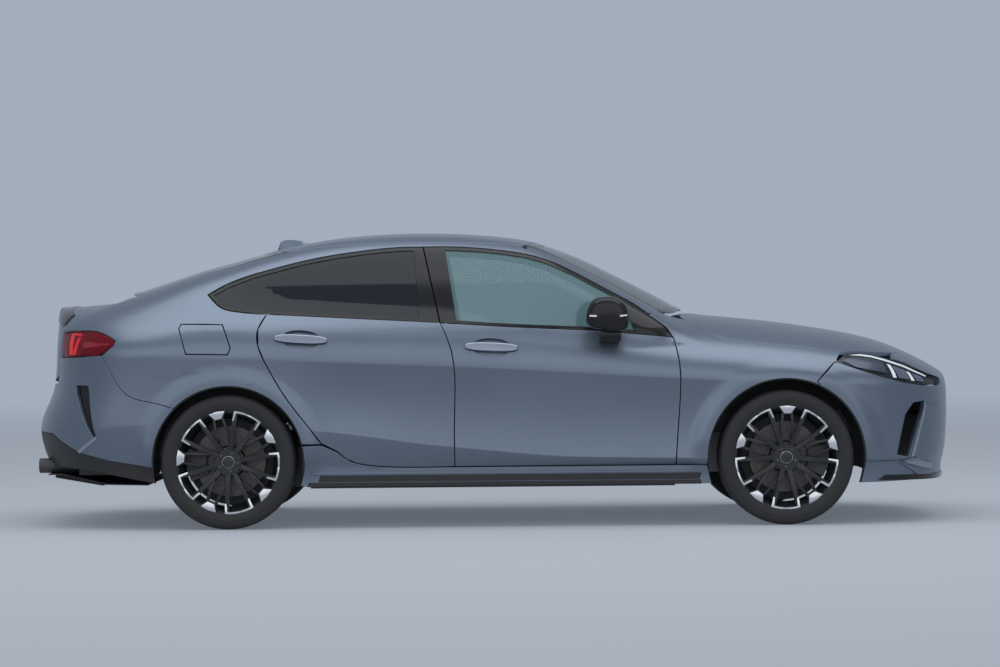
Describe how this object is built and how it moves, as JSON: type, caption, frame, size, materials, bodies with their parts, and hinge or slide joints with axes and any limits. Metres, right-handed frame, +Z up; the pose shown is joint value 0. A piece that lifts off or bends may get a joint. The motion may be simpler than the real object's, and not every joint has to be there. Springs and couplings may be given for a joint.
{
  "type": "four-door coupe",
  "caption": "Low four-door coupe with an arched roof, frameless doors, short deck and open-spoke alloy wheels; doors, lids, steering and wheels move.",
  "frame": {"origin": "on the ground below the middle of the car's box", "axes": "+X forward, +Y to the car's left, +Z up"},
  "size_m": [4.5462, 2.016, 1.4349],
  "materials": {
    "body_paint": "satin metallic",
    "window_glass": "tinted",
    "gloss_black": "gloss",
    "black_plastic": "grained",
    "tyre": "matte",
    "wheel_alloy": "machined and painted",
    "lamp_clear": "clear",
    "lamp_red": "clear red",
    "steel": "primed",
    "cast_metal": "cast",
    "seat_leather": "matte"
  },
  "bodies": {
    "car_body": {"body_side_left": "body_paint", "body_side_right": "body_paint", "dashboard": "black_plastic", "engine": "cast_metal", "exhaust": "steel", "fender_left": "body_paint", "fender_right": "body_paint", "floor_pan": "steel", "front_bumper": "body_paint", "front_seats": "seat_leather", "grille": "black_plastic", "headlamps": "lamp_clear", "rear_bumper": "body_paint", "rear_diffuser": "black_plastic", "rear_knuckles": "steel", "rear_seat": "seat_leather", "rear_window": "window_glass", "roof_panel": "body_paint", "steering_wheel": "black_plastic", "suspension": "steel", "tail_lamps": "lamp_red", "wheel_arch_liners": "black_plastic", "windscreen": "window_glass"},
    "front_door_left": {"door_front_left": "body_paint", "glass_front_left": "window_glass", "mirror_left": "gloss_black"},
    "rear_door_left": {"door_rear_left": "body_paint", "glass_rear_left": "window_glass"},
    "steered_left": {"knuckle_front_left": "steel"},
    "wheel_front_left": {"rim_front_left": "wheel_alloy", "tyre_front_left": "tyre"},
    "wheel_rear_left": {"rim_rear_left": "wheel_alloy", "tyre_rear_left": "tyre"},
    "front_door_right": {"door_front_right": "body_paint", "glass_front_right": "window_glass", "mirror_right": "gloss_black"},
    "rear_door_right": {"door_rear_right": "body_paint", "glass_rear_right": "window_glass"},
    "steered_right": {"knuckle_front_right": "steel"},
    "wheel_front_right": {"rim_front_right": "wheel_alloy", "tyre_front_right": "tyre"},
    "wheel_rear_right": {"rim_rear_right": "wheel_alloy", "tyre_rear_right": "tyre"},
    "bonnet": {"bonnet": "body_paint"},
    "boot_lid": {"boot_lid": "body_paint"},
    "fuel_flap": {"fuel_flap": "body_paint"}
  },
  "joints": [
    {"name": "front_door_left_hinge", "type": "hinge", "parent": "car_body", "child": "front_door_left", "pos_m": [0.866, 0.887, 0.56], "axis": [0, 0, -1], "range_deg": [0, 65]},
    {"name": "rear_door_left_hinge", "type": "hinge", "parent": "car_body", "child": "rear_door_left", "pos_m": [-0.2, 0.887, 0.56], "axis": [0, 0, -1], "range_deg": [0, 65]},
    {"name": "steer_left", "type": "hinge", "parent": "car_body", "child": "steered_left", "pos_m": [1.391, 0.705, 0.323], "axis": [0, 0, 1], "range_deg": [-33, 33]},
    {"name": "wheel_front_left_spin", "type": "hinge", "parent": "steered_left", "child": "wheel_front_left", "pos_m": [1.391, 0.771, 0.323], "axis": [0, 1, 0], "continuous": true},
    {"name": "wheel_rear_left_spin", "type": "hinge", "parent": "car_body", "child": "wheel_rear_left", "pos_m": [-1.279, 0.771, 0.323], "axis": [0, 1, 0], "continuous": true},
    {"name": "front_door_right_hinge", "type": "hinge", "parent": "car_body", "child": "front_door_right", "pos_m": [0.866, -0.887, 0.56], "axis": [0, 0, 1], "range_deg": [0, 65]},
    {"name": "rear_door_right_hinge", "type": "hinge", "parent": "car_body", "child": "rear_door_right", "pos_m": [-0.2, -0.887, 0.56], "axis": [0, 0, 1], "range_deg": [0, 65]},
    {"name": "steer_right", "type": "hinge", "parent": "car_body", "child": "steered_right", "pos_m": [1.391, -0.705, 0.323], "axis": [0, 0, 1], "range_deg": [-33, 33]},
    {"name": "wheel_front_right_spin", "type": "hinge", "parent": "steered_right", "child": "wheel_front_right", "pos_m": [1.391, -0.771, 0.323], "axis": [0, 1, 0], "continuous": true},
    {"name": "wheel_rear_right_spin", "type": "hinge", "parent": "car_body", "child": "wheel_rear_right", "pos_m": [-1.279, -0.771, 0.323], "axis": [0, 1, 0], "continuous": true},
    {"name": "bonnet_hinge", "type": "hinge", "parent": "car_body", "child": "bonnet", "pos_m": [0.905, 0, 1.002], "axis": [0, -1, 0], "range_deg": [0, 50]},
    {"name": "boot_lid_hinge", "type": "hinge", "parent": "car_body", "child": "boot_lid", "pos_m": [-1.815, 0, 1.108], "axis": [0, 1, 0], "range_deg": [0, 70]},
    {"name": "fuel_flap_hinge", "type": "hinge", "parent": "car_body", "child": "fuel_flap", "pos_m": [-1.266, -0.89, 0.838], "axis": [0, -0.43, 0.9028], "range_deg": [0, 80]}
  ],
  "couplings": [
    {"joint": "steer_right", "follows": "steer_left", "ratio": 1}
  ]
}
